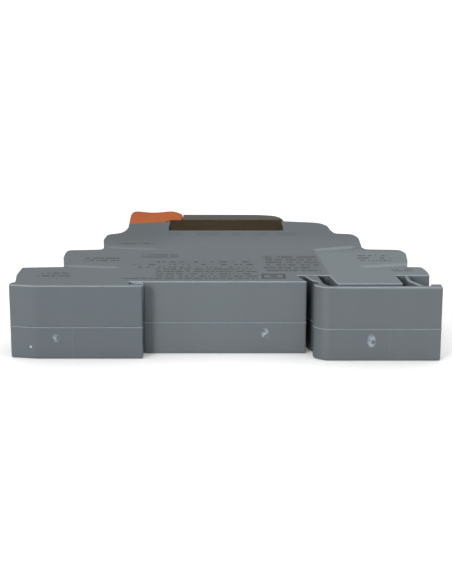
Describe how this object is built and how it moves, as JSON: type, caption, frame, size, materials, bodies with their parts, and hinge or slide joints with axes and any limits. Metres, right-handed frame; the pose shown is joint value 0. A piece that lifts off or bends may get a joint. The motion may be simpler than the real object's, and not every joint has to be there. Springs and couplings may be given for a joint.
{
  "type": "plug-in relay module",
  "caption": "Slim stepped relay module for a mounting rail: grey two-shell housing with screw terminals, sprung rail latch, orange ejector lever and a plug-in relay.",
  "frame": {"origin": "middle of the bounding box's base, on the side face the module lies on", "axes": "+X from the coil terminals to the contact terminals, +Y from the rail foot to the lever's grip, +Z across the thin width"},
  "size_m": [0.08, 0.0914, 0.014],
  "materials": {
    "grey_plastic": "fine satin",
    "orange_plastic": "satin",
    "brown_cover": "smoky translucent",
    "black_plastic": "matte",
    "cream_plastic": "matte",
    "white_label": "matte",
    "zinc_steel": "zinc plated",
    "soft_iron": "dull nickel plated",
    "copper": "tinned copper strip",
    "winding_copper": "enamelled wire",
    "contact_brass": "bright",
    "tinned_pin": "tinned",
    "green_board": "lacquered",
    "led_lens": "clear tinted",
    "clear_guide": "polished clear",
    "resistor_body": "lacquered"
  },
  "bodies": {
    "housing": {"housing_lower": "grey_plastic", "housing_upper": "grey_plastic", "circuit_board": "green_board", "status_led": "led_lens", "light_guide": "clear_guide", "flyback_diode": "black_plastic", "series_resistor": "resistor_body", "bridge_rectifier": "black_plastic", "coil_bar_low": "copper", "coil_bar_high": "copper", "busbar_high_1": "copper", "busbar_middle_1": "copper", "busbar_low_1": "copper", "busbar_high_2": "copper", "busbar_middle_2": "copper", "busbar_low_2": "copper", "coil_fork_1": "copper", "coil_fork_2": "copper"},
    "latch": {"foot_latch": "grey_plastic"},
    "lever": {"ejector_lever": "orange_plastic"},
    "relay": {"relay_cover": "brown_cover", "relay_base": "black_plastic", "coil_bobbin": "cream_plastic", "coil_winding": "winding_copper", "coil_core": "soft_iron", "coil_yoke": "soft_iron", "marker_holder": "grey_plastic", "marker_strip": "white_label", "coil_pin_1": "tinned_pin", "common_pin_1": "tinned_pin", "fixed_contact_close_1": "contact_brass", "fixed_contact_break_1": "contact_brass", "coil_pin_2": "tinned_pin", "common_pin_2": "tinned_pin", "fixed_contact_close_2": "contact_brass", "fixed_contact_break_2": "contact_brass"},
    "armature": {"armature": "soft_iron"},
    "card": {"contact_card": "cream_plastic"},
    "contact_springs": {"contact_spring_1": "contact_brass", "contact_spring_2": "contact_brass"},
    "screw_coil_low": {"clamp_screw_coil_low": "zinc_steel"},
    "cage_coil_low": {"clamp_cage_coil_low": "zinc_steel"},
    "screw_coil_high": {"clamp_screw_coil_high": "zinc_steel"},
    "cage_coil_high": {"clamp_cage_coil_high": "zinc_steel"},
    "screw_low_1": {"clamp_screw_low_1": "zinc_steel"},
    "cage_low_1": {"clamp_cage_low_1": "zinc_steel"},
    "screw_low_2": {"clamp_screw_low_2": "zinc_steel"},
    "cage_low_2": {"clamp_cage_low_2": "zinc_steel"},
    "screw_middle_1": {"clamp_screw_middle_1": "zinc_steel"},
    "cage_middle_1": {"clamp_cage_middle_1": "zinc_steel"},
    "screw_middle_2": {"clamp_screw_middle_2": "zinc_steel"},
    "cage_middle_2": {"clamp_cage_middle_2": "zinc_steel"},
    "screw_high_1": {"clamp_screw_high_1": "zinc_steel"},
    "cage_high_1": {"clamp_cage_high_1": "zinc_steel"},
    "screw_high_2": {"clamp_screw_high_2": "zinc_steel"},
    "cage_high_2": {"clamp_cage_high_2": "zinc_steel"}
  },
  "joints": [
    {"name": "latch_slide", "type": "slide", "parent": "housing", "child": "latch", "axis": [1, 0, 0], "range_m": [0, 0.0018], "stiffness_N_per_m": 1500},
    {"name": "lever_pivot", "type": "hinge", "parent": "housing", "child": "lever", "pos_m": [-0.01859, 0.01634, 0.007], "axis": [0, 0, 1], "range_deg": [0, 35]},
    {"name": "relay_lift", "type": "slide", "parent": "housing", "child": "relay", "axis": [0, 1, 0], "range_m": [0, 0.0043]},
    {"name": "armature_pivot", "type": "hinge", "parent": "relay", "child": "armature", "pos_m": [-0.00144, 0.02934, 0.007], "axis": [0, 0, -1], "range_deg": [0, 3], "stiffness_Nm_per_rad": 0.002},
    {"name": "card_slide", "type": "slide", "parent": "relay", "child": "card", "axis": [-1, 0, 0], "range_m": [0, 0.00045]},
    {"name": "contact_flex", "type": "hinge", "parent": "relay", "child": "contact_springs", "pos_m": [0.00711, 0.01754, 0.007], "axis": [0, 0, 1], "range_deg": [0, 3.2]},
    {"name": "turn_coil_low", "type": "hinge", "parent": "housing", "child": "screw_coil_low", "pos_m": [-0.0356, -0.03046, 0.007], "axis": [0, -1, 0], "range_deg": [0, 1585]},
    {"name": "clamp_coil_low", "type": "slide", "parent": "housing", "child": "cage_coil_low", "axis": [0, 1, 0], "range_m": [0, 0.0022]},
    {"name": "turn_coil_high", "type": "hinge", "parent": "housing", "child": "screw_coil_high", "pos_m": [-0.02929, -0.01266, 0.007], "axis": [0, -1, 0], "range_deg": [0, 1585]},
    {"name": "clamp_coil_high", "type": "slide", "parent": "housing", "child": "cage_coil_high", "axis": [0, 1, 0], "range_m": [0, 0.0022]},
    {"name": "turn_low_1", "type": "hinge", "parent": "housing", "child": "screw_low_1", "pos_m": [0.03361, -0.01266, 0.00345], "axis": [0, -1, 0], "range_deg": [0, 1585]},
    {"name": "clamp_low_1", "type": "slide", "parent": "housing", "child": "cage_low_1", "axis": [0, 1, 0], "range_m": [0, 0.0022]},
    {"name": "turn_low_2", "type": "hinge", "parent": "housing", "child": "screw_low_2", "pos_m": [0.03361, -0.01266, 0.01055], "axis": [0, -1, 0], "range_deg": [0, 1585]},
    {"name": "clamp_low_2", "type": "slide", "parent": "housing", "child": "cage_low_2", "axis": [0, 1, 0], "range_m": [0, 0.0022]},
    {"name": "turn_middle_1", "type": "hinge", "parent": "housing", "child": "screw_middle_1", "pos_m": [0.02676, 0.00554, 0.00345], "axis": [0, -1, 0], "range_deg": [0, 1585]},
    {"name": "clamp_middle_1", "type": "slide", "parent": "housing", "child": "cage_middle_1", "axis": [0, 1, 0], "range_m": [0, 0.0022]},
    {"name": "turn_middle_2", "type": "hinge", "parent": "housing", "child": "screw_middle_2", "pos_m": [0.02676, 0.00554, 0.01055], "axis": [0, -1, 0], "range_deg": [0, 1585]},
    {"name": "clamp_middle_2", "type": "slide", "parent": "housing", "child": "cage_middle_2", "axis": [0, 1, 0], "range_m": [0, 0.0022]},
    {"name": "turn_high_1", "type": "hinge", "parent": "housing", "child": "screw_high_1", "pos_m": [0.01931, 0.02154, 0.00345], "axis": [0, -1, 0], "range_deg": [0, 1585]},
    {"name": "clamp_high_1", "type": "slide", "parent": "housing", "child": "cage_high_1", "axis": [0, 1, 0], "range_m": [0, 0.0022]},
    {"name": "turn_high_2", "type": "hinge", "parent": "housing", "child": "screw_high_2", "pos_m": [0.01931, 0.02154, 0.01055], "axis": [0, -1, 0], "range_deg": [0, 1585]},
    {"name": "clamp_high_2", "type": "slide", "parent": "housing", "child": "cage_high_2", "axis": [0, 1, 0], "range_m": [0, 0.0022]}
  ],
  "couplings": [
    {"joint": "relay_lift", "follows": "lever_pivot", "m_per_rad": 0.00703},
    {"joint": "card_slide", "follows": "armature_pivot", "m_per_rad": 0.00859},
    {"joint": "contact_flex", "follows": "armature_pivot", "ratio": 1.066},
    {"joint": "turn_coil_low", "follows": "clamp_coil_low", "rad_per_m": 12566},
    {"joint": "turn_coil_high", "follows": "clamp_coil_high", "rad_per_m": 12566},
    {"joint": "turn_low_1", "follows": "clamp_low_1", "rad_per_m": 12566},
    {"joint": "turn_low_2", "follows": "clamp_low_2", "rad_per_m": 12566},
    {"joint": "turn_middle_1", "follows": "clamp_middle_1", "rad_per_m": 12566},
    {"joint": "turn_middle_2", "follows": "clamp_middle_2", "rad_per_m": 12566},
    {"joint": "turn_high_1", "follows": "clamp_high_1", "rad_per_m": 12566},
    {"joint": "turn_high_2", "follows": "clamp_high_2", "rad_per_m": 12566}
  ]
}
